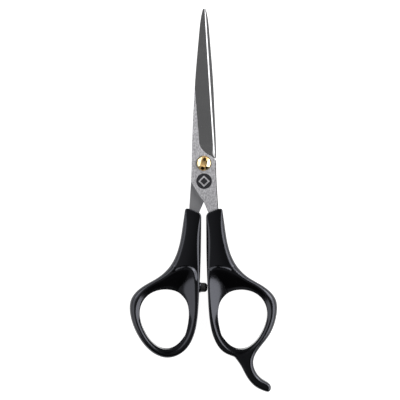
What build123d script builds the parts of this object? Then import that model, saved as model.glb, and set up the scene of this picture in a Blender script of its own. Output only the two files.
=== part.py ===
from build123d import *
import math
import os

# Hair cutting shears, closed, lying on their back. Millimetres.
# +Y points to the tips, +Z is up along the pivot axis, and the origin is on the pivot axis
# in the plane that the shears rest on. The front half has its blade's spine on the left (-X)
# and its tang and finger handle on the right; the rear half is the same forging turned over,
# so its spine is on the right and its tang and thumb handle are on the left.

# ---- driving dimensions ----
HANDLE_T = 8.0  # thickness of the moulded handles
MID_Z = HANDLE_T / 2  # plane between the two blades
BLADE_GAP = 0.04  # play between the inner faces of the blades
STOCK_T = 2.4  # thickness of each steel half
TIP_X = -0.2
TIP_Y = 73.2
TANG_END_Y = -46.0

GRIND_DROP = 0.2  # fall of the ground face across the blade, per mm of width
GRIND_WHEEL_R = 24.0  # wheel arc where the ground face runs out above the pivot
GRIND_RUN_OUT = 1.45  # the wheel lifts off this far before the ground face's lower end
EDGE_ANGLE = 60.0  # slope of the cutting edge bevel
EDGE_LAND = 0.12  # steel left standing at the cutting edge
EDGE_WHEEL_R = 4.0
EDGE_RUN_OUT = 2.2
HOLLOW_R = 30.0  # hollow grind of the inner face
HOLLOW_DEPTH = 0.2  # its depth at the pivot end
HOLLOW_FADE = 0.03  # it leaves the face before the tip
HOLLOW_START_Y = 9.0
SIDE_BEVEL_H = 0.1  # height of the bevels along the sides of the outer flat
SPINE_BEVEL = 0.1  # their width on the spine and the shoulder
TANG_BEVEL = 0.5  # their width on the outer side of the tang

SCREW_HEAD_D = 7.1
SCREW_RIM_H = 0.13
SCREW_DOME_D = 6.1
SCREW_DOME_H = 1.1
SCREW_END_Z = 0.3
SHOULDER_D = 4.0
THREAD_D = 3.2
THREAD_CHAMFER = 0.3
FIT = 0.05  # radial play of a running fit
SLOT_W = 3.0
SLOT_DEPTH = 0.75
SLOT_CUTTER_R = 3.1
SLOT_TILT = -14.5  # degrees from the blade's length
WASHER_OD = 6.9
WASHER_T = 0.22
WASHER_DISH = 0.1
GLIDE_OD = 7.6
GLIDE_RECESS = 0.3  # depth of the seat in each blade
NUT_D = 7.0
NUT_SPIGOT_D = 5.0
NUT_EDGE_R = 0.3
NUT_HOLE_D = 1.0  # two blind holes for a pin spanner
NUT_HOLE_SPACING = 5.2
NUT_HOLE_DEPTH = 0.8

COLLAR_R = 0.9  # corners of the handle's collar
EDGE_ROUND = 1.4  # rounding of the handle's long edges
HOLE_LAND = 1.6  # straight band inside the finger hole
REST_BLEND_R = 3.0  # blend between the bow and the finger rest

STOP_Y = -58.8  # height of the rubber stop between the handles
STOP_D = 4.4
STOP_REACH = 1.84  # its tip, just clear of the finger handle
STOP_BASE_X = -1.1
STEM_D = 2.2
STEM_L = 2.6
STOP_NOSE_R = 1.5
BOSS_D = 4.8
BOSS_FOOT_D = 6.2
BOSS_H = 1.6  # from its end to its foot inside the handle


def points(*rows):
    """Points of an outline, given as (x, y)."""
    return [Vector(x, y) for x, y in rows]


# Outline of the front half: spine, cutting edge, and the two sides of the tang.
SPINE = points((-0.85, 72.5), (-1.6, 69.1), (-2.45, 61.5), (-3.43, 50.1), (-4.28, 38.8),
               (-5.05, 23.6), (-5.72, 8.4), (-5.8, 0.8))
CUTTING_EDGE = points((0.5, 72.3), (2.38, 50.0), (3.62, 30.0), (4.8, 10.0), (5.2, 3.2))
TANG_RIGHT = points((5.85, 0.4), (5.98, -6.7), (6.42, -14.3), (6.8, -20.0), (7.0, -26.0))
TANG_SHOULDER = (-5.85, -9.0)  # the left side turns in towards the tang here
TANG_WAIST = (0.0, -18.3)
TANG_LEFT_NECK = (2.3, -23.6)
TANG_END_LEFT_X = 3.2
TANG_END_RIGHT_X = 6.6
GRIND_TOP = Vector(-4.45, 34.6)  # the ground face leaves the spine here
GRIND_FOOT = Vector(-2.2, 8.2)  # and turns across the blade here

# Right-hand handle: outer side from the collar to the bottom of the bow, then up the inner side.
COLLAR_OUTER = (8.75, -21.4)
COLLAR_MID = (6.8, -21.5)
COLLAR_LIP = (1.9, -23.5)
COLLAR_INNER = (1.15, -24.6)
BOW_OUTER = points((9.95, -29.5), (11.6, -39.0), (15.52, -48.25), (21.05, -53.85), (29.14, -58.72),
                   (34.18, -64.38), (34.5, -72.1), (30.9, -81.6))
BOW_BOTTOM = points((24.5, -89.2), (17.0, -92.0))
BOW_INNER = points((9.6, -89.2), (5.15, -83.0), (3.0, -74.5), (2.1, -62.6), (1.45, -48.0), (1.18, -30.0))
REST_OUTER = points((25.95, -88.1), (23.65, -93.5), (24.65, -98.2), (28.5, -102.5), (32.0, -105.7))
REST_TIP = Vector(31.3, -107.7)
REST_INNER = points((28.4, -107.4), (24.0, -104.95), (20.25, -100.3), (17.6, -95.4), (14.7, -91.45))
# Crest of the funnel in the handle's face and the finger hole that it leads down to.
CREST = points((8.0, -49.85), (12.0, -50.8), (18.6, -54.9), (27.8, -60.7), (31.8, -67.8), (30.1, -78.0),
               (23.6, -87.3), (17.5, -90.2), (10.0, -86.9), (5.0, -77.0), (3.8, -69.0), (3.6, -58.0),
               (4.6, -51.6))
HOLE = points((11.5, -61.5), (15.0, -60.1), (20.0, -59.9), (26.3, -62.6), (29.9, -68.6), (28.87, -77.5),
              (22.95, -85.9), (17.5, -88.2), (11.2, -85.5), (7.6, -77.4), (7.0, -69.8), (8.4, -64.8),
              (10.2, -62.6))

BLADE_TOP = MID_Z + STOCK_T
HEAD_Z = BLADE_TOP + WASHER_T + WASHER_DISH


def wheel_cut(foot, far, foot_z, drop_angle, wheel_radius, run_out):
    """What a grinding wheel takes off: a plane along foot-far, ending in the wheel's arc."""
    length, height, lift = 110.0, 6.0, 3.0
    along = (far - foot).normalized()
    drop = math.radians(drop_angle)
    across = Vector(along.Y * math.cos(drop), -along.X * math.cos(drop), -math.sin(drop))
    plane = Plane(origin=(foot.X, foot.Y, foot_z), x_dir=along, z_dir=across)
    swing = math.acos(1 - lift / wheel_radius)
    arc_end = (run_out - wheel_radius * math.sin(swing), lift)
    arc_mid = (run_out - wheel_radius * math.sin(swing / 2), wheel_radius * (1 - math.cos(swing / 2)))
    with BuildPart() as cut:
        with BuildSketch(plane):
            with BuildLine():
                ThreePointArc((run_out, 0), arc_mid, arc_end)
                Polyline(arc_end, (arc_end[0], height), (length, height), (length, 0), (run_out, 0))
            make_face()
        extrude(amount=14, both=True)
    return cut.part


def hollow_grind(inner_z):
    """Long shallow cylinder that hollows the blade's inner face and fades out before the tip."""
    start = Vector(-0.1, HOLLOW_START_Y, inner_z + HOLLOW_DEPTH - HOLLOW_R)
    end = Vector(-0.2, TIP_Y, inner_z - HOLLOW_FADE - HOLLOW_R)
    with BuildPart() as hollow:
        with BuildSketch(Plane(origin=start, z_dir=end - start)):
            Circle(HOLLOW_R)
        extrude(amount=(end - start).length)
    return hollow.part


def half_outline(height, spine_inset, tang_inset):
    """Outline of a steel half at some height, drawn in by different amounts on its two sides."""
    inward = Vector(spine_inset, 0)
    outward = Vector(-tang_inset, 0)
    spine = [point + inward for point in SPINE]
    edge = [point + outward * 0.2 for point in CUTTING_EDGE]
    right = [point + outward for point in TANG_RIGHT]
    end_right = Vector(TANG_END_RIGHT_X, TANG_END_Y) + outward
    end_left = Vector(TANG_END_LEFT_X, TANG_END_Y) + inward
    shoulder = Vector(*TANG_SHOULDER) + inward
    waist = Vector(*TANG_WAIST) + inward
    neck = Vector(*TANG_LEFT_NECK) + inward
    with BuildSketch(Plane.XY.offset(height)) as outline:
        with BuildLine():
            Spline(spine)
            ThreePointArc(spine[0], (TIP_X, TIP_Y), edge[0])
            Spline(edge)
            Line(edge[-1], right[0])
            Spline(right)
            Polyline(right[-1], end_right, end_left, neck, waist, shoulder, spine[-1])
        make_face()
        for corner, radius in ((end_right, 1.2), (end_left, 1.2), (waist, 3.0), (shoulder, 1.5)):
            fillet(outline.vertices().sort_by_distance(corner + Vector(0, 0, height))[0], radius)
    return outline.sketch


def blade_half(bore_d):
    """One steel half in the front position: blade, flat body and tang."""
    inner_z = MID_Z + BLADE_GAP / 2
    grind = wheel_cut(GRIND_FOOT, GRIND_TOP, BLADE_TOP, math.degrees(math.atan(GRIND_DROP)),
                      GRIND_WHEEL_R, GRIND_RUN_OUT)
    bevel = wheel_cut(CUTTING_EDGE[-1], CUTTING_EDGE[0], inner_z + EDGE_LAND, EDGE_ANGLE,
                      EDGE_WHEEL_R, EDGE_RUN_OUT)
    hollow = hollow_grind(inner_z)
    with BuildPart() as half:
        add(half_outline(inner_z, 0, 0))
        extrude(amount=BLADE_TOP - SIDE_BEVEL_H - inner_z)
        add(half_outline(BLADE_TOP - SIDE_BEVEL_H, 0, 0))
        add(half_outline(BLADE_TOP, SPINE_BEVEL, TANG_BEVEL))
        loft(ruled=True)
        add(grind, mode=Mode.SUBTRACT)
        add(bevel, mode=Mode.SUBTRACT)
        add(hollow, mode=Mode.SUBTRACT)
        with Locations((0, 0, BLADE_TOP)):
            Hole(radius=bore_d / 2)
        with BuildSketch(Plane.XY.offset(inner_z)):
            Circle(GLIDE_OD / 2 + FIT)
        extrude(amount=GLIDE_RECESS, mode=Mode.SUBTRACT)
    return half.part


def bow_outline(is_finger_side):
    """Sketch of a right-hand handle: collar, neck and bow, with the finger rest on one of them."""
    outer_side = [Vector(*COLLAR_OUTER), *BOW_OUTER]
    inner_side = [*BOW_INNER, Vector(*COLLAR_INNER)]
    with BuildSketch(Plane.XY) as outline:
        with BuildLine():
            Polyline(COLLAR_INNER, COLLAR_LIP, COLLAR_MID, COLLAR_OUTER)
            if is_finger_side:
                Spline([*outer_side, *REST_OUTER])
                ThreePointArc(REST_OUTER[-1], REST_TIP, REST_INNER[0])
                Spline(REST_INNER)
                Spline([REST_INNER[-1], *inner_side])
            else:
                Spline([*outer_side, *BOW_BOTTOM, *inner_side])
        make_face()
        for corner in (COLLAR_OUTER, COLLAR_INNER):
            fillet(outline.vertices().sort_by_distance(corner)[0], COLLAR_R)
        if is_finger_side:
            fillet(outline.vertices().sort_by_distance(REST_INNER[-1])[0], REST_BLEND_R)
    return outline.sketch


def funnel():
    """What is open in the bow: the finger hole and the funnel that leads to it from both faces."""
    with BuildPart() as opening:
        for side in (1, -1):
            with BuildSketch(Plane.XY.offset(MID_Z + side * (HANDLE_T / 2))):
                with BuildLine():
                    Spline(CREST, periodic=True)
                make_face()
            with BuildSketch(Plane.XY.offset(MID_Z + side * HOLE_LAND / 2)):
                with BuildLine():
                    Spline(HOLE, periodic=True)
                make_face()
            loft(ruled=True)
        with BuildSketch(Plane.XY.offset(MID_Z)):
            with BuildLine():
                Spline(HOLE, periodic=True)
            make_face()
        extrude(amount=HOLE_LAND / 2, both=True)
    return opening.part


def handle(is_finger_side):
    """A moulded handle in the right-hand position."""
    outline = bow_outline(is_finger_side)
    with BuildPart() as body:
        add(outline)
        extrude(amount=HANDLE_T)
        fillet(body.edges().filter_by(Plane.XY), EDGE_ROUND)
        add(funnel(), mode=Mode.SUBTRACT)
    return body.part


def make_front_blade():
    """Upper half, bored for the screw's shoulder."""
    with BuildPart() as front_blade:
        add(blade_half(SHOULDER_D + 2 * FIT))
    front_blade.part.label = "front_blade"
    return front_blade.part


def make_rear_blade():
    """The same forging turned over about its length, bored for the nut's spigot."""
    with BuildPart() as rear_blade:
        with Locations((0, 0, 2 * MID_Z)):
            add(blade_half(NUT_SPIGOT_D), rotation=(0, 180, 0))
    rear_blade.part.label = "rear_blade"
    return rear_blade.part


def make_finger_handle(tang):
    """Right-hand handle with the finger rest, moulded around the front blade's tang."""
    with BuildPart() as finger_handle:
        add(handle(is_finger_side=True))
        add(tang, mode=Mode.SUBTRACT)
    finger_handle.part.label = "finger_handle"
    return finger_handle.part


def make_thumb_handle(tang):
    """Left-hand handle with the boss that holds the rubber stop."""
    side = Plane(origin=(STOP_BASE_X, STOP_Y, MID_Z), z_dir=(-1, 0, 0))
    foot = Plane(origin=(STOP_BASE_X - BOSS_H, STOP_Y, MID_Z), z_dir=(-1, 0, 0))
    with BuildPart() as thumb_handle:
        add(mirror(handle(is_finger_side=False), about=Plane.YZ))
        with BuildSketch(side):
            Circle(BOSS_D / 2)
        with BuildSketch(foot):
            Circle(BOSS_FOOT_D / 2)
        loft()
        with BuildSketch(side):
            Circle(STEM_D / 2)
        extrude(amount=STEM_L, mode=Mode.SUBTRACT)
        add(tang, mode=Mode.SUBTRACT)
    thumb_handle.part.label = "thumb_handle"
    return thumb_handle.part


def make_bumper():
    """Rubber stop: a round nose outside the boss and a stem inside it."""
    base = Plane(origin=(STOP_BASE_X, STOP_Y, MID_Z), z_dir=(1, 0, 0))
    with BuildPart() as bumper:
        with BuildSketch(base):
            Circle(STOP_D / 2)
        extrude(amount=STOP_REACH - STOP_BASE_X)
        fillet(bumper.edges().sort_by(Axis.X)[-1], STOP_NOSE_R)
        with BuildSketch(base):
            Circle(STEM_D / 2)
        extrude(amount=-STEM_L)
    bumper.part.label = "bumper"
    return bumper.part


def make_pivot_screw():
    """Domed head with a wheel-cut coin slot, a shoulder in the front blade and the threaded end."""
    radius = SCREW_HEAD_D / 2
    dome_edge = SCREW_DOME_D / 2
    rim_z = HEAD_Z + SCREW_RIM_H
    top_z = rim_z + SCREW_DOME_H
    thread_top = MID_Z + BLADE_GAP / 2
    tilt = math.radians(SLOT_TILT)
    cutter = Plane(origin=(0, 0, top_z - SLOT_DEPTH + SLOT_CUTTER_R),
                   z_dir=(math.cos(tilt), math.sin(tilt), 0))
    with BuildPart() as pivot_screw:
        with BuildSketch(Plane.XZ):
            with BuildLine():
                Polyline((0, top_z), (0, SCREW_END_Z), (THREAD_D / 2, SCREW_END_Z),
                         (THREAD_D / 2, thread_top), (SHOULDER_D / 2, thread_top),
                         (SHOULDER_D / 2, HEAD_Z), (radius, HEAD_Z), (radius, rim_z), (dome_edge, rim_z))
                dome_r = (dome_edge**2 + SCREW_DOME_H**2) / (2 * SCREW_DOME_H)
                RadiusArc((dome_edge, rim_z), (0, top_z), -dome_r)
            make_face()
        revolve(axis=Axis.Z)
        with BuildSketch(cutter):
            Circle(SLOT_CUTTER_R)
        extrude(amount=SLOT_W / 2, both=True, mode=Mode.SUBTRACT)
        tip = pivot_screw.edges().filter_by(GeomType.CIRCLE).sort_by(Axis.Z)[0]
        chamfer(tip, THREAD_CHAMFER)
    pivot_screw.part.label = "pivot_screw"
    return pivot_screw.part


def make_spring_washer():
    """Thin dished washer between the screw's head and the front blade."""
    inner = SHOULDER_D / 2 + FIT
    outer = WASHER_OD / 2
    with BuildPart() as spring_washer:
        with BuildSketch(Plane.XZ):
            Polygon((inner, BLADE_TOP + WASHER_DISH), (inner, BLADE_TOP + WASHER_DISH + WASHER_T),
                    (outer, BLADE_TOP + WASHER_T), (outer, BLADE_TOP), align=None)
        revolve(axis=Axis.Z)
    spring_washer.part.label = "spring_washer"
    return spring_washer.part


def make_glide_washer():
    """Plastic washer in the shallow seats between the blades."""
    thickness = BLADE_GAP + 2 * GLIDE_RECESS
    with BuildPart() as glide_washer:
        with BuildSketch(Plane.XY.offset(MID_Z - thickness / 2)):
            Circle(GLIDE_OD / 2)
            Circle(SHOULDER_D / 2 + FIT, mode=Mode.SUBTRACT)
        extrude(amount=thickness)
    glide_washer.part.label = "glide_washer"
    return glide_washer.part


def make_pivot_nut():
    """Round nut flush with the backs of the handles, with a spigot in the rear blade."""
    back_z = 2 * MID_Z - BLADE_TOP
    spigot_end = MID_Z - BLADE_GAP / 2 - GLIDE_RECESS
    with BuildPart() as pivot_nut:
        with BuildSketch(Plane.XY):
            Circle(NUT_D / 2)
        extrude(amount=back_z)
        fillet(pivot_nut.edges().group_by(Axis.Z)[0], NUT_EDGE_R)
        with BuildSketch(Plane.XY.offset(back_z)):
            Circle(NUT_SPIGOT_D / 2)
        extrude(amount=spigot_end - back_z)
        with Locations((0, 0, 0)):
            Hole(radius=THREAD_D / 2 + FIT)
        with BuildSketch(Plane.XY):
            with Locations((0, NUT_HOLE_SPACING / 2), (0, -NUT_HOLE_SPACING / 2)):
                Circle(NUT_HOLE_D / 2)
        extrude(amount=NUT_HOLE_DEPTH, mode=Mode.SUBTRACT)
    pivot_nut.part.label = "pivot_nut"
    return pivot_nut.part


def main():
    front_blade = make_front_blade()
    rear_blade = make_rear_blade()
    pieces = [
        front_blade,
        rear_blade,
        make_finger_handle(tang=front_blade),
        make_thumb_handle(tang=rear_blade),
        make_bumper(),
        make_pivot_screw(),
        make_spring_washer(),
        make_glide_washer(),
        make_pivot_nut(),
    ]
    os.makedirs("parts", exist_ok=True)
    for piece in pieces:
        export_step(piece, f"parts/{piece.label}.step")
        print(piece.label, round(piece.volume, 1), piece.bounding_box())


if __name__ == "__main__":
    main()
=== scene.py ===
import math

import bmesh
import bpy
import numpy as np
from mathutils import Euler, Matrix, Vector
from mathutils.geometry import delaunay_2d_cdt


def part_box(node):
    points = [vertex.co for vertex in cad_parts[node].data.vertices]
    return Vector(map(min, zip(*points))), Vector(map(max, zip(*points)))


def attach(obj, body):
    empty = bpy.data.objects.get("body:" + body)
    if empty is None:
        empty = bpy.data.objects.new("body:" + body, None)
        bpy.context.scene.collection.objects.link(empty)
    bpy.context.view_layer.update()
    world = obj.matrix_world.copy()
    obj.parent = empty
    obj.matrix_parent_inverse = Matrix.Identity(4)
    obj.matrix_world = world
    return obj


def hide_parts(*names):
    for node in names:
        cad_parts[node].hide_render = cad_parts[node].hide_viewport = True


# Hair cutting shears, closed, seen from above. The CAD parts give the steel, screw, nut, washers
# and rubber stop; the two moulded handles are built here as finer meshes on the CAD's outline.
MM = 0.001

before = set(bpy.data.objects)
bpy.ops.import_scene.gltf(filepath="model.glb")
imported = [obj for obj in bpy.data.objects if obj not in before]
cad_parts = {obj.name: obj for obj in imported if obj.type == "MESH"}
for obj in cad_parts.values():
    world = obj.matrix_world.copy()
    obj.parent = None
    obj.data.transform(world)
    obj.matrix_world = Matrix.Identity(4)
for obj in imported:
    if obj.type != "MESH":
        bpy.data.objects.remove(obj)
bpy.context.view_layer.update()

# ---- view and studio ----
VIEW_WIDTH = 189.6 * MM  # width of the picture at the shears
VIEW_CENTRE = (-1.79 * MM, -17.4 * MM)
VIEW_ROLL = math.radians(0.17)
CAMERA_HEIGHT = 0.9
SENSOR = 36.0
BOX_NEAR = (0.92, 0.15)  # lower edge of a softbox: distance from the shears and height
SIDE_FAR = (0.55, 0.75)  # upper edge of those at the sides
TIPS_FAR = (0.72, 0.58)  # and of those towards the tips
# Softboxes around the shears: bearing from the right-hand side, length, upper edge and power.
SOFTBOXES = [(2, 1.25, SIDE_FAR, 11.6), (52, 0.85, TIPS_FAR, 4.6), (128, 0.85, TIPS_FAR, 2.4),
             (176, 1.1, SIDE_FAR, 4.8)]
GLOOM = 0.015  # brightness of the dark part of the studio
# Faint glows overhead: axis, how far along it the glow begins and is full, and brightness.
GLOWS = [((-0.35, 0.0, 1.0), (0.92, 1.06), 0.32), ((0.36, 0.3, 0.88), (0.9, 0.97), 0.125)]
BACKDROP = 0.9
FLOOR_SIZE = 8.0
FLOOR_GAP = 0.02 * MM  # the floor lies this far under the shears
FLOOR_GREY = 0.3
FLOOR_GLOW = 0.98

# ---- handles, in millimetres, on the CAD's outline ----
HANDLE_T = 8.0
MID_Z = HANDLE_T / 2
BLADE_TOP = MID_Z + 2.4
COLLAR_R = 0.9
REST_BLEND_R = 0.8  # how far the blend at the finger rest's root reaches
# Rows of x, y and the width of the rounding between side and top there: down the outer side,
# round the bow and up the inner side.
COLLAR_MID = (6.8, -21.5, 0.5)
COLLAR_LIP = (1.9, -23.5, 0.5)
COLLAR_OUTER = (8.75, -21.4, 0.5)
COLLAR_INNER = (1.15, -24.6, 0.5)
BOW_OUTER = [(9.95, -29.5, 2.35), (11.6, -39.0, 2.4), (15.52, -48.25, 3.0), (21.05, -53.85, 3.4),
             (29.14, -58.72, 3.0), (34.18, -64.38, 2.8), (34.5, -72.1, 2.7), (30.9, -81.6, 2.4)]
BOW_BOTTOM = [(24.5, -89.2, 1.8), (17.0, -92.0, 1.7)]
BOW_INNER = [(9.6, -89.2, 0.9), (5.15, -83.0, 0.6), (3.0, -74.5, 0.5), (2.1, -62.6, 0.7),
             (1.45, -48.0, 1.8), (1.18, -30.0, 1.8)]
REST_OUTER = [(25.95, -88.1, 1.7), (23.65, -93.5, 1.8), (24.65, -98.2, 1.9), (28.5, -102.5, 1.8),
              (32.0, -105.7, 1.3)]
REST_TIP = (31.3, -107.7, 1.2)
REST_INNER = [(28.4, -107.4, 1.2), (24.0, -104.95, 1.2), (20.25, -100.3, 1.2), (17.6, -95.4, 1.2),
              (14.7, -91.45, 1.3)]
CREST = [(8.0, -49.85), (12.0, -50.8), (18.6, -54.9), (27.8, -60.6), (31.8, -67.8), (30.1, -78.0),
         (23.6, -87.3), (17.5, -90.2), (10.0, -86.9), (5.0, -77.0)]
FINGER_CREST = [(3.65, -69.0), (2.95, -60.0), (2.9, -54.0), (3.7, -51.0), (5.4, -49.95)]
THUMB_CREST = [(4.0, -69.0), (4.1, -60.0), (4.35, -54.0), (5.1, -51.3), (6.4, -50.15)]
HOLE = [(11.5, -61.5), (15.0, -60.1), (20.0, -59.9), (26.3, -62.6), (29.9, -68.6), (28.87, -77.5),
        (22.95, -85.9), (17.5, -88.2), (11.2, -85.5), (7.6, -77.4), (7.0, -69.8), (8.4, -64.8),
        (10.2, -62.6)]
OUTLINE_STEP = 0.3
CREST_LAND = 0.15  # flat left between the rounding and the crest
ROUNDING_HEIGHT = 1.5  # height of the rounding over its width
ROUNDING_STEPS = 9
ROUNDING_EASE = 6  # passes that even out its width along the outline
PARTING_GROOVE = 0.04
PANEL_RECESS = 0.7  # the neck's face lies this far below the crest
PANEL_RAMP = (0.15, 1.65)  # and rises to it between these distances
PANEL_CROWN = 0.0085  # its fall per square millimetre from the middle of the neck
CROWN_REACH = 6.0
NECK_X = 5.4  # middle of the neck at NECK_Y, and how it swings outwards from there
NECK_Y = -24.0
NECK_SWING = 0.0052
PANEL_FADE = (-58.0, -52.0)  # between these it starts, going up from the bow to the neck
ROUNDING_START = math.radians(25)  # the rounding meets the side wall at an angle
PANEL_GRID = 0.45
FUNNEL_SLOPE = 0.12  # of the funnel far from the crest
FUNNEL_EDGE_SLOPE = (0.06, 0.44)  # extra slope at the crest: under the neck, and around the bow
FUNNEL_EDGE_FADE = (-59.5, -50.5)  # between these it changes, going up from the bow to the neck
FUNNEL_BEND = (5.5, 0.9)  # distance over which that fades: beside the neck, and around the bow
FUNNEL_BEND_FADE = (-76.0, -63.0)  # likewise
LIP_W = 1.5  # nearly flat lip at the finger hole
LIP_SHARE = 0.45  # at most this share of the way from the crest to the hole
LIP_DROP = 0.06
HOLE_EDGE_DROP = 0.25  # small break between the lip and the wall of the hole
FUNNEL_RINGS = 16
LIP_RINGS = 4
RING_POINTS = 24 * len(CREST)
BOSS_Y = -58.8
# Lathed boss of the rubber stop: rows of x and radius.
BOSS = [(-3.6, 3.1), (-2.6, 2.9), (-2.1, 2.6), (-1.6, 2.45), (-1.2, 2.38), (-1.1, 2.25), (-1.1, 1.1),
        (-3.6, 1.1)]


def add_camera():
    camera = bpy.data.cameras.new("camera")
    camera.sensor_width = SENSOR
    camera.lens = SENSOR * CAMERA_HEIGHT / VIEW_WIDTH
    camera.clip_start = 0.01
    camera.clip_end = 20.0
    holder = bpy.data.objects.new("camera", camera)
    holder.location = (*VIEW_CENTRE, CAMERA_HEIGHT + MID_Z * MM)
    holder.rotation_euler.z = VIEW_ROLL
    bpy.context.scene.collection.objects.link(holder)
    bpy.context.scene.camera = holder


def add_softbox(bearing, length, upper, power):
    """A tall panel beside the shears, from near the floor to well above them."""
    near, far = (Vector((distance, 0, height)) for distance, height in (BOX_NEAR, upper))
    light = bpy.data.lights.new("softbox", "AREA")
    light.shape = "RECTANGLE"
    light.size = length
    light.size_y = (far - near).length
    light.energy = power
    holder = bpy.data.objects.new("softbox", light)
    holder.location = (near + far) / 2
    holder.location.rotate(Euler((0, 0, math.radians(bearing))))
    holder.rotation_euler = (-holder.location).to_track_quat("-Z", "Y").to_euler()
    bpy.context.scene.collection.objects.link(holder)


def add_world():
    """Dark studio with faint glows overhead for reflections; pale backdrop behind the floor."""
    world = bpy.data.worlds.new("studio")
    bpy.context.scene.world = world
    world.use_nodes = True
    nodes, links = world.node_tree.nodes, world.node_tree.links
    direction = nodes.new("ShaderNodeTexCoord")
    gloom = nodes.new("ShaderNodeValue")
    gloom.outputs[0].default_value = GLOOM
    total = gloom.outputs[0]
    for axis, edge, brightness in GLOWS:
        along = nodes.new("ShaderNodeVectorMath")
        along.operation = "DOT_PRODUCT"
        along.inputs[1].default_value = axis
        links.new(direction.outputs["Generated"], along.inputs[0])
        glow = nodes.new("ShaderNodeMapRange")
        glow.interpolation_type = "SMOOTHSTEP"
        links.new(along.outputs["Value"], glow.inputs["Value"])
        for socket, value in zip(("From Min", "From Max", "To Min", "To Max"), (*edge, 0.0, brightness)):
            glow.inputs[socket].default_value = value
        added = nodes.new("ShaderNodeMath")
        links.new(glow.outputs["Result"], added.inputs[0])
        links.new(total, added.inputs[1])
        total = added.outputs[0]
    studio = nodes["Background"]
    studio.inputs["Color"].default_value = (1, 1, 1, 1)
    links.new(total, studio.inputs["Strength"])
    backdrop = nodes.new("ShaderNodeBackground")
    backdrop.inputs["Color"].default_value = (1, 1, 1, 1)
    backdrop.inputs["Strength"].default_value = BACKDROP
    path = nodes.new("ShaderNodeLightPath")
    mix = nodes.new("ShaderNodeMixShader")
    links.new(path.outputs["Is Camera Ray"], mix.inputs[0])
    links.new(studio.outputs[0], mix.inputs[1])
    links.new(backdrop.outputs[0], mix.inputs[2])
    links.new(mix.outputs[0], nodes["World Output"].inputs[0])


def add_floor():
    bpy.ops.mesh.primitive_plane_add(size=FLOOR_SIZE, location=(0, 0, -FLOOR_GAP))
    floor = bpy.context.object
    floor.name = "floor"
    material = bpy.data.materials.new("floor")
    material.use_nodes = True
    shader = material.node_tree.nodes["Principled BSDF"]
    shader.inputs["Base Color"].default_value = (FLOOR_GREY, FLOOR_GREY, FLOOR_GREY, 1)
    shader.inputs["Roughness"].default_value = 1.0
    shader.inputs["Specular IOR Level"].default_value = 0.0
    shader.inputs["Emission Color"].default_value = (1, 1, 1, 1)
    shader.inputs["Emission Strength"].default_value = FLOOR_GLOW
    material.cycles.emission_sampling = "NONE"
    floor.data.materials.append(material)


# ---- handle meshes ----
def spline(rows, closed=False):
    """The smooth curve through the rows: a function of the row number and its fractions."""
    rows = np.array(rows, float)
    if closed:
        rows = np.vstack([rows, rows[:1]])
    gap = np.hypot(*np.diff(rows[:, :2], axis=0).T)
    slope = np.diff(rows, axis=0) / gap[:, None]
    last = len(rows) - 1
    system = np.eye(last + 1)
    turn = np.zeros_like(rows)
    for i in range(1, last):
        system[i, i - 1:i + 2] = gap[i - 1], 2 * (gap[i - 1] + gap[i]), gap[i]
        turn[i] = 6 * (slope[i] - slope[i - 1])
    if closed:
        system[0, last] = -1
        system[last, [0, 1, last - 1, last]] = 2 * gap[0], gap[0], gap[-1], 2 * gap[-1]
        turn[last] = 6 * (slope[0] - slope[-1])
    bend = np.linalg.solve(system, turn)

    def curve(at):
        i = np.clip(at.astype(int), 0, last - 1)
        b = (at - i)[:, None]
        a = 1 - b
        h = gap[i][:, None]
        return (a * rows[i] + b * rows[i + 1]
                + ((a**3 - a) * bend[i] + (b**3 - b) * bend[i + 1]) * h**2 / 6)

    return curve


def sampled(rows, per_row=60):
    """Closely spaced points of the smooth curve through the rows."""
    return spline(rows)(np.linspace(0, len(rows) - 1, per_row * (len(rows) - 1) + 1))


def lengths(line):
    """Distance along a line of points from its start."""
    return np.concatenate([[0], np.cumsum(np.hypot(*np.diff(line[:, :2], axis=0).T))])


def rounded(line, corner, setback):
    """The line with one corner replaced by a parabola that starts this far before it."""
    k = np.argmin(np.hypot(*(line[:, :2] - corner[:2]).T))
    along = lengths(line) - lengths(line)[k]
    before, after = np.searchsorted(along, (-setback, setback))
    t = np.linspace(0, 1, 12)[:, None]
    bend = (1 - t)**2 * line[before] + 2 * t * (1 - t) * line[k] + t**2 * line[after]
    return np.vstack([line[:before], bend, line[after + 1:]])


def handle_outline(with_rest):
    """Closed outline of a right-hand handle, clockwise: rows of x, y and rounding width."""
    if with_rest:
        side = [sampled([COLLAR_OUTER, *BOW_OUTER, *REST_OUTER, REST_TIP, *REST_INNER]),
                sampled([REST_INNER[-1], *BOW_INNER, COLLAR_INNER])]
    else:
        side = [sampled([COLLAR_OUTER, *BOW_OUTER, *BOW_BOTTOM, *BOW_INNER, COLLAR_INNER])]
    ends = [np.linspace(COLLAR_MID, COLLAR_OUTER, 20), np.linspace(COLLAR_INNER, COLLAR_LIP, 20),
            np.linspace(COLLAR_LIP, COLLAR_MID, 60)]
    line = np.vstack([ends[0], *side, *ends[1:]])
    line = line[np.append(True, np.hypot(*np.diff(line[:, :2], axis=0).T) > 1e-4)]
    line = rounded(line, COLLAR_OUTER, COLLAR_R)
    line = rounded(line, COLLAR_INNER, COLLAR_R)
    if with_rest:
        line = rounded(line, REST_INNER[-1], REST_BLEND_R)
    along = lengths(line)
    even = np.linspace(0, along[-1], int(along[-1] / OUTLINE_STEP), endpoint=False)
    return np.stack([np.interp(even, along, column) for column in line.T], axis=1)


def is_inside(spots, loop):
    """For each spot, whether it lies inside a closed loop of points."""
    x, y = spots[:, :1], spots[:, 1:2]
    x0, y0 = loop.T
    x1, y1 = np.roll(loop, -1, axis=0).T
    crosses = (y0 > y) != (y1 > y)
    rise = np.where(y1 == y0, 1e-12, y1 - y0)
    return (crosses & (x < (x1 - x0) * (y - y0) / rise + x0)).sum(axis=1) % 2 == 1


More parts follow.
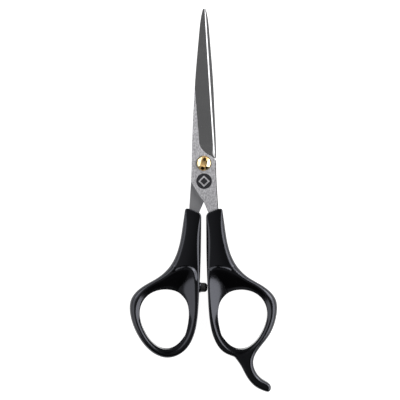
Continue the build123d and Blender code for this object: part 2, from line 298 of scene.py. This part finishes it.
def nearest(spots, loop):
    """Distance of each spot from a loop of points."""
    return np.sqrt(((spots[:, None, :] - loop[None, :, :])**2).sum(axis=2).min(axis=1))


def smooth_step(value, low, high):
    """0 below low and 1 above high, with a smooth rise between."""
    part = np.clip((value - low) / (high - low), 0, 1)
    return part**2 * (3 - 2 * part)


def panel_height(spots, crest):
    """Height of the handle's flat face: sunk on the neck, rising to the crest."""
    x, y = spots.T
    middle = NECK_X + NECK_SWING * (y - NECK_Y)**2
    crown = PANEL_CROWN * np.minimum(np.abs(x - middle), CROWN_REACH)**2
    ramp = smooth_step(nearest(spots, crest), *PANEL_RAMP)
    return HANDLE_T - (PANEL_RECESS + crown) * ramp * smooth_step(y, *PANEL_FADE)


def flank_rings(outline, crest):
    """Rings from the parting line up the side and over the rounding to the flat face."""
    ahead = np.roll(outline, -1, axis=0) - np.roll(outline, 1, axis=0)
    inward = np.stack([ahead[:, 1], -ahead[:, 0]], axis=1)
    inward /= np.hypot(*inward.T)[:, None]
    edge = outline[:, :2]
    width = np.minimum(outline[:, 2], nearest(edge, crest) - CREST_LAND)
    for _ in range(ROUNDING_EASE):
        width = (np.roll(width, 1) + 2 * width + np.roll(width, -1)) / 4
    top = panel_height(edge + inward * width[:, None], crest)
    height = ROUNDING_HEIGHT * width

    def ring(offset, z):
        return np.column_stack([edge + inward * np.broadcast_to(offset, width.shape)[:, None],
                                np.broadcast_to(z, width.shape)])

    rings = [ring(PARTING_GROOVE, MID_Z), ring(0, MID_Z + 2 * PARTING_GROOVE)]
    for angle in np.linspace(ROUNDING_START, math.pi / 2, ROUNDING_STEPS):
        inset = width * (1 - math.cos(angle) / math.cos(ROUNDING_START))
        rings.append(ring(inset, top - height * (1 - math.sin(angle))))
    return rings


def scoop_depth(spots, crest):
    """How far the funnel lies below the crest: steep beside it, then ever flatter."""
    away = nearest(spots, crest)
    under_neck, around_bow = FUNNEL_EDGE_SLOPE
    slope = around_bow + (under_neck - around_bow) * smooth_step(spots[:, 1], *FUNNEL_EDGE_FADE)
    beside_neck, at_bow = FUNNEL_BEND
    bend = at_bow + (beside_neck - at_bow) * smooth_step(spots[:, 1], *FUNNEL_BEND_FADE)
    return FUNNEL_SLOPE * away + slope * bend * np.tanh(away / bend)


def funnel_rings(rows):
    """Rings from the crest down the funnel and over its nearly flat lip into the finger hole."""
    at = np.linspace(0, len(rows), RING_POINTS, endpoint=False)
    crest, hole = spline(rows, True)(at), spline(HOLE, True)(at * len(HOLE) / len(rows))
    span = np.hypot(*(hole - crest).T)
    lip = np.minimum(LIP_W, LIP_SHARE * span)
    fine_crest = spline(rows, True)(np.linspace(0, len(rows), 120 * len(rows), endpoint=False))

    def ring(run, extra=0.0):
        spots = crest + (hole - crest) * (run / span)[:, None]
        sloping = crest + (hole - crest) * (np.minimum(run, span - lip) / span)[:, None]
        height = HANDLE_T - scoop_depth(sloping, fine_crest) - extra
        return np.column_stack([spots, np.maximum(height, MID_Z + 0.05)])

    rings = [ring((span - lip) * part) for part in np.linspace(0, 1, FUNNEL_RINGS)]
    rings += [ring(span - lip * (1 - part), LIP_DROP * part)
              for part in np.linspace(0, 1, LIP_RINGS + 1)[1:]]
    rings.append(ring(span, LIP_DROP + HOLE_EDGE_DROP))
    rings.append(np.column_stack([hole, np.full(len(at), MID_Z)]))
    return rings


def face_triangles(rim, crest):
    """The flat face between the rounding's rim and the crest: its inner spots and its triangles."""
    low, high = rim.min(axis=0), rim.max(axis=0)
    grid = np.stack(np.meshgrid(np.arange(low[0], high[0], PANEL_GRID),
                                np.arange(low[1], high[1], PANEL_GRID)), axis=2)
    grid[1::2, :, 0] += PANEL_GRID / 2
    spots = grid.reshape(-1, 2)
    spots = spots[is_inside(spots, rim) & ~is_inside(spots, crest)]
    clear = np.minimum(nearest(spots, rim), nearest(spots, crest)) > PANEL_GRID / 2
    spots = spots[clear]
    flat = np.vstack([rim, crest, spots])
    loops = [(i, (i + 1) % len(rim)) for i in range(len(rim))]
    loops += [(len(rim) + i, len(rim) + (i + 1) % len(crest)) for i in range(len(crest))]
    _, _, faces, origin, _, _ = delaunay_2d_cdt([Vector(p) for p in flat], loops, [], 0, 1e-5)
    faces = np.array([[origin[v][0] for v in face] for face in faces])
    middle = flat[faces].mean(axis=1)
    keep = is_inside(middle, rim) & ~is_inside(middle, crest)
    return spots, faces[keep]


def loft(first, count, rings):
    """Quads between neighbouring rings of count points that start at a vertex number."""
    quads = []
    for r in range(rings - 1):
        a = first + r * count + np.arange(count)
        b = np.roll(a, -1)
        quads.append(np.stack([a, b, b + count, a + count], axis=1))
    return np.vstack(quads).tolist()


def handle_half(with_rest):
    """Upper half of a right-hand handle, above the parting line: vertices and faces."""
    funnel = funnel_rings(CREST + (FINGER_CREST if with_rest else THUMB_CREST))
    crest = funnel[0][:, :2]
    flank = flank_rings(handle_outline(with_rest), crest)
    rim = flank[-1][:, :2]
    spots, triangles = face_triangles(rim, crest)
    inner = np.column_stack([spots, panel_height(spots, crest)])
    vertices = np.vstack([*flank, *funnel, inner])
    funnel_start = len(flank) * len(rim)
    inner_start = funnel_start + len(funnel) * len(crest)
    where = np.concatenate([funnel_start - len(rim) + np.arange(len(rim)),
                            funnel_start + np.arange(len(crest)),
                            inner_start + np.arange(len(spots))])
    faces = loft(0, len(rim), len(flank)) + loft(funnel_start, len(crest), len(funnel))
    return vertices, faces + where[triangles].tolist()


def mesh_object(name, vertices, faces, body, node, sharp_angle=35.0):
    """A smooth-shaded piece from millimetre vertices, riding on a body in place of a CAD node."""
    low, high = (np.array(corner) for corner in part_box(node))
    form = bmesh.new()
    corners = [form.verts.new(Vector(v)) for v in np.clip(np.array(vertices) * MM, low, high)]
    for face in faces:
        form.faces.new([corners[i] for i in face])
    bmesh.ops.remove_doubles(form, verts=form.verts, dist=0.002 * MM)
    bmesh.ops.recalc_face_normals(form, faces=form.faces)
    mesh = bpy.data.meshes.new(name)
    form.to_mesh(mesh)
    form.free()
    mesh.shade_smooth()
    mesh.set_sharp_from_angle(angle=math.radians(sharp_angle))
    piece = bpy.data.objects.new(name, mesh)
    bpy.context.scene.collection.objects.link(piece)
    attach(piece, body)
    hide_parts(node)
    return piece


def make_handle(name, with_rest, side, body, node):
    """A moulded handle: the upper half, mirrored below the parting line and to its own side."""
    half, faces = handle_half(with_rest)
    under = half * (1, 1, -1) + (0, 0, HANDLE_T)
    vertices = np.vstack([half, under]) * (side, 1, 1)
    below = [[i + len(half) for i in face] for face in faces]
    return mesh_object(name, vertices, faces + below, body, node)


def make_boss(name, body, node):
    """Lathed boss on the thumb handle that holds the rubber stop."""
    count = 48
    angles = np.arange(count) * 2 * math.pi / count
    rings = [np.column_stack([np.full(count, x), BOSS_Y + r * np.cos(angles), MID_Z + r * np.sin(angles)])
             for x, r in BOSS]
    faces = loft(0, count, len(BOSS)) + [
        [(len(BOSS) - 1) * count + i, (len(BOSS) - 1) * count + (i + 1) % count, (i + 1) % count, i]
        for i in range(count)]
    return mesh_object(name, np.vstack(rings), faces, body, node)


# ---- materials ----
class Shader:
    """A node material with a Principled shader, and short ways to add the nodes used here."""

    def __init__(self, name):
        self.material = bpy.data.materials.new(name)
        self.material.use_nodes = True
        self.tree = self.material.node_tree
        self.bsdf = self.tree.nodes["Principled BSDF"]
        coordinates = self.tree.nodes.new("ShaderNodeTexCoord")
        self.position = self.scaled(coordinates.outputs["Object"], (1000, 1000, 1000))

    def link(self, output, target):
        self.tree.links.new(output, target)
        return output

    def set(self, **values):
        for name, value in values.items():
            self.bsdf.inputs[name.replace("_", " ")].default_value = value

    def scaled(self, vector, scale):
        node = self.tree.nodes.new("ShaderNodeMapping")
        node.inputs["Scale"].default_value = scale
        self.link(vector, node.inputs["Vector"])
        return node.outputs["Vector"]

    def noise(self, scale, detail=3.0, stretch=(1, 1, 1)):
        node = self.tree.nodes.new("ShaderNodeTexNoise")
        node.inputs["Scale"].default_value = scale
        node.inputs["Detail"].default_value = detail
        self.link(self.scaled(self.position, stretch), node.inputs["Vector"])
        return node.outputs["Fac"]

    def math(self, operation, first, second=0.0, third=0.0):
        node = self.tree.nodes.new("ShaderNodeMath")
        node.operation = operation
        for socket, value in zip(node.inputs, (first, second, third)):
            if isinstance(value, (int, float)):
                socket.default_value = value
            else:
                self.link(value, socket)
        return node.outputs[0]

    def ramp(self, value, low, high, to_low=0.0, to_high=1.0, smooth=True):
        node = self.tree.nodes.new("ShaderNodeMapRange")
        node.interpolation_type = "SMOOTHSTEP" if smooth else "LINEAR"
        self.link(value, node.inputs["Value"])
        for socket, number in zip(("From Min", "From Max", "To Min", "To Max"), (low, high, to_low, to_high)):
            node.inputs[socket].default_value = number
        return node.outputs["Result"]

    def mix(self, factor, first, second):
        node = self.tree.nodes.new("ShaderNodeMix")
        node.data_type = "RGBA"
        self.link(factor, node.inputs[0])
        for socket, value in ((node.inputs[6], first), (node.inputs[7], second)):
            if isinstance(value, tuple):
                socket.default_value = (*value, 1)
            else:
                self.link(value, socket)
        return node.outputs[2]

    def blend(self, factor, first, second):
        """first where factor is 0, second where it is 1, for numbers or number sockets."""
        keep = self.math("SUBTRACT", 1.0, factor)
        return self.math("ADD", self.math("MULTIPLY", keep, first), self.math("MULTIPLY", factor, second))

    def axes(self):
        node = self.tree.nodes.new("ShaderNodeSeparateXYZ")
        self.link(self.position, node.inputs[0])
        return node.outputs

    def bump(self, height, distance, strength=1.0):
        node = self.tree.nodes.new("ShaderNodeBump")
        node.inputs["Distance"].default_value = distance * MM
        node.inputs["Strength"].default_value = strength
        self.link(height, node.inputs["Height"])
        self.link(node.outputs["Normal"], self.bsdf.inputs["Normal"])


BLADE_SHARP_ANGLE = 8.0  # degrees: keeps the edges of the shallow bevels crisp
MARK_CENTRE = (0.1, -8.5)
MARK_R = 3.75
SLOT_TILT = math.radians(-14.5)  # the screw's slot from the blade's length
SLOT_W = 3.0
SLOT_SHADE_SPOTS = ((2.0, -0.1), (-2.5, 0.0))  # painted shade: dark spots in the slot, placed along it and across


def length_of(shader, u, v):
    squares = shader.math("ADD", shader.math("MULTIPLY", u, u), shader.math("MULTIPLY", v, v))
    return shader.math("SQRT", squares)


def etched_mark(steel, x, y):
    """Mask of a generic etched mark: a dark disc with the outline of a diamond left bright."""
    dx = steel.math("SUBTRACT", x, MARK_CENTRE[0])
    dy = steel.math("SUBTRACT", y, MARK_CENTRE[1])
    disc = steel.ramp(length_of(steel, dx, dy), MARK_R, MARK_R - 0.1)
    lozenge = steel.math("ADD", steel.math("ABSOLUTE", dx), steel.math("ABSOLUTE", dy))
    bright = steel.math("MULTIPLY", steel.ramp(lozenge, 2.75, 2.65), steel.ramp(lozenge, 1.75, 1.85))
    return steel.math("MULTIPLY", disc, steel.math("SUBTRACT", 1.0, bright))


def steel_material(name, outer_z, marked):
    """Satin outer flat with lengthwise grain, darkened towards the tang as painted shade; ground faces
    smoother and darker; a dull tang inside, rougher, its darker colour painted shade.
    """
    steel = Shader(name)
    x, y, z = steel.axes()
    depth = steel.math("ABSOLUTE", steel.math("SUBTRACT", z, outer_z))
    ground = steel.ramp(depth, 0.004, 0.02)
    inner = steel.ramp(steel.math("ABSOLUTE", steel.math("SUBTRACT", z, MID_Z)), 0.3, 0.1)
    dull_and_shaded = steel.math("MULTIPLY", inner, steel.ramp(y, 2.0, -6.0))
    grain = steel.noise(6.0, 4.0, (1.0, 0.04, 1.0))
    mottle = steel.noise(1.7, 4.0, (1.0, 0.6, 1.0))
    grind_lines = steel.noise(1.4, 1.0, (0.08, 1.0, 0.08))
    cloud = steel.noise(0.12, 2.0)
    satin = steel.blend(0.35, steel.ramp(mottle, 0.38, 0.62), steel.ramp(grain, 0.35, 0.65))
    satin_rough = steel.ramp(grain, 0.3, 0.7, 0.52, 0.58)
    polish_rough = steel.ramp(grind_lines, 0.3, 0.7, 0.12, 0.14)
    polish_rough = steel.blend(dull_and_shaded, polish_rough, steel.ramp(grain, 0.3, 0.7, 0.37, 0.43))
    rough = steel.blend(ground, satin_rough, polish_rough)
    tone = steel.mix(satin, (0.42, 0.415, 0.435), (0.78, 0.775, 0.8))
    # painted shade: the satin darkens towards the tang, where less light falls
    tone = steel.mix(steel.ramp(y, -22.0, 8.0, 0.16, 0.0), tone, (0.0, 0.0, 0.0))
    polish = steel.mix(cloud, (0.6, 0.6, 0.61), (0.65, 0.65, 0.66))
    # the tang's inner face: its rougher finish is real, its darker colour is painted shade where it lies low
    # and out of the light
    polish = steel.mix(dull_and_shaded, polish, (0.5, 0.5, 0.52))
    colour = steel.mix(ground, tone, polish)
    height = steel.blend(ground, satin, steel.math("MULTIPLY", grind_lines, 0.2))
    if marked:
        mask = steel.math("MULTIPLY", etched_mark(steel, x, y), steel.math("SUBTRACT", 1.0, ground))
        etch = steel.mix(mottle, (0.03, 0.03, 0.034), (0.06, 0.06, 0.066))
        colour = steel.mix(mask, colour, etch)
        rough = steel.blend(mask, rough, 0.6)
        height = steel.blend(mask, height, -0.5)
    steel.link(colour, steel.bsdf.inputs["Base Color"])
    steel.link(rough, steel.bsdf.inputs["Roughness"])
    steel.set(Metallic=1.0)
    steel.bump(height, 0.004, 0.5)
    return steel.material


def plastic_material():
    """Black moulded plastic, semi-gloss, with a very fine moulded grain and slight flow marks."""
    plastic = Shader("handle_plastic")
    grain = plastic.noise(9.0, 2.0)
    flow = plastic.noise(0.15, 3.0, (1.0, 0.35, 1.0))
    colour = plastic.mix(flow, (0.0006, 0.0006, 0.0007), (0.0014, 0.0014, 0.0017))
    plastic.link(colour, plastic.bsdf.inputs["Base Color"])
    rough = plastic.math("ADD", plastic.ramp(grain, 0.3, 0.7, 0.17, 0.2),
                         plastic.ramp(flow, 0.3, 0.7, -0.015, 0.025))
    plastic.link(rough, plastic.bsdf.inputs["Roughness"])
    plastic.set(IOR=1.51, Specular_Tint=(0.86, 0.88, 1.0, 1.0))
    plastic.bump(grain, 0.004, 0.35)
    return plastic.material


def brass_material():
    """Polished gold-coloured brass with faint turning rings; its milled slot is rough, with painted shade
    darkening one wall and two spots.
    """
    brass = Shader("screw_brass")
    x, y, z = brass.axes()
    across = brass.math("ADD", brass.math("MULTIPLY", x, math.cos(SLOT_TILT)),
                        brass.math("MULTIPLY", y, math.sin(SLOT_TILT)))
    slot = brass.ramp(brass.math("ABSOLUTE", across), SLOT_W / 2 + 0.04, SLOT_W / 2 - 0.02)
    slot = brass.math("MULTIPLY", slot, brass.ramp(z, BLADE_TOP, BLADE_TOP + 0.1))
    along = brass.math("SUBTRACT", brass.math("MULTIPLY", y, math.cos(SLOT_TILT)),
                       brass.math("MULTIPLY", x, math.sin(SLOT_TILT)))
    # painted shade in the slot: a dark band along one wall and dark spots near its ends
    slot_shade = brass.math("MULTIPLY", brass.ramp(across, 1.0, 1.3),
                        brass.ramp(brass.math("ABSOLUTE", along), 2.1, 1.6))
    for spot_along, spot_across in SLOT_SHADE_SPOTS:
        spot = length_of(brass, brass.math("SUBTRACT", along, spot_along),
                         brass.math("SUBTRACT", across, spot_across))
        slot_shade = brass.math("MAXIMUM", slot_shade, brass.ramp(spot, 1.0, 0.65))
    slot_shade = brass.math("MULTIPLY", slot_shade, slot)
    rings = brass.math("SINE", brass.math("MULTIPLY", length_of(brass, x, y), 60.0))
    smudge = brass.noise(0.8, 3.0)
    milled = brass.noise(7.0, 3.0, (1.0, 0.2, 1.0))
    polished = brass.mix(smudge, (0.74, 0.6, 0.33), (0.86, 0.73, 0.46))
    cut = brass.mix(milled, (0.55, 0.36, 0.14), (0.8, 0.56, 0.26))
    cut = brass.mix(slot_shade, cut, (0.05, 0.03, 0.01))
    brass.link(brass.mix(slot, polished, cut), brass.bsdf.inputs["Base Color"])
    rough = brass.blend(slot, brass.ramp(smudge, 0.3, 0.7, 0.04, 0.07),
                        brass.ramp(milled, 0.3, 0.7, 0.42, 0.55))
    brass.link(rough, brass.bsdf.inputs["Roughness"])
    brass.set(Metallic=1.0)
    brass.bump(brass.blend(slot, rings, brass.math("MULTIPLY", milled, 6.0)), 0.001, 0.4)
    return brass.material


def rubber_material():
    rubber = Shader("stop_rubber")
    grain = rubber.noise(6.0, 4.0)
    colour = rubber.mix(grain, (0.006, 0.006, 0.006), (0.014, 0.014, 0.014))
    rubber.link(colour, rubber.bsdf.inputs["Base Color"])
    rubber.link(rubber.ramp(grain, 0.3, 0.7, 0.42, 0.6), rubber.bsdf.inputs["Roughness"])
    rubber.bump(grain, 0.01, 0.5)
    return rubber.material


def washer_material(name, dark, light, metallic, rough):
    washer = Shader(name)
    grain = washer.noise(5.0, 3.0)
    washer.link(washer.mix(grain, dark, light), washer.bsdf.inputs["Base Color"])
    washer.link(washer.ramp(grain, 0.3, 0.7, rough - 0.05, rough + 0.05), washer.bsdf.inputs["Roughness"])
    washer.set(Metallic=metallic)
    washer.bump(grain, 0.003, 0.4)
    return washer.material


def dress(node, material, sharp_angle=30.0):
    """Gives a CAD node its material and smooth shading between shallow facets."""
    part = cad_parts[node]
    part.data.materials.clear()
    part.data.materials.append(material)
    part.data.shade_smooth()
    part.data.set_sharp_from_angle(angle=math.radians(sharp_angle))


bpy.context.scene.view_settings.view_transform = "Standard"
add_camera()
add_world()
for softbox in SOFTBOXES:
    add_softbox(*softbox)
add_floor()
plastic = plastic_material()
brass = brass_material()
dress("front_blade", steel_material("blade_steel_front", BLADE_TOP, True), BLADE_SHARP_ANGLE)
dress("rear_blade", steel_material("blade_steel_rear", 2 * MID_Z - BLADE_TOP, False),
      BLADE_SHARP_ANGLE)
dress("pivot_screw", brass)
dress("pivot_nut", brass)
dress("bumper", rubber_material())
dress("spring_washer", washer_material("washer_steel", (0.55, 0.55, 0.56), (0.65, 0.65, 0.66), 1.0, 0.2))
dress("glide_washer", washer_material("washer_nylon", (0.75, 0.74, 0.7), (0.85, 0.84, 0.8), 0.0, 0.4))
handles = [
    make_handle("finger_bow", True, 1, "finger_half", "finger_handle"),
    make_handle("thumb_bow", False, -1, "thumb_half", "thumb_handle"),
    make_boss("stop_boss", "thumb_half", "thumb_handle"),
]
for piece in handles:
    piece.data.materials.append(plastic)
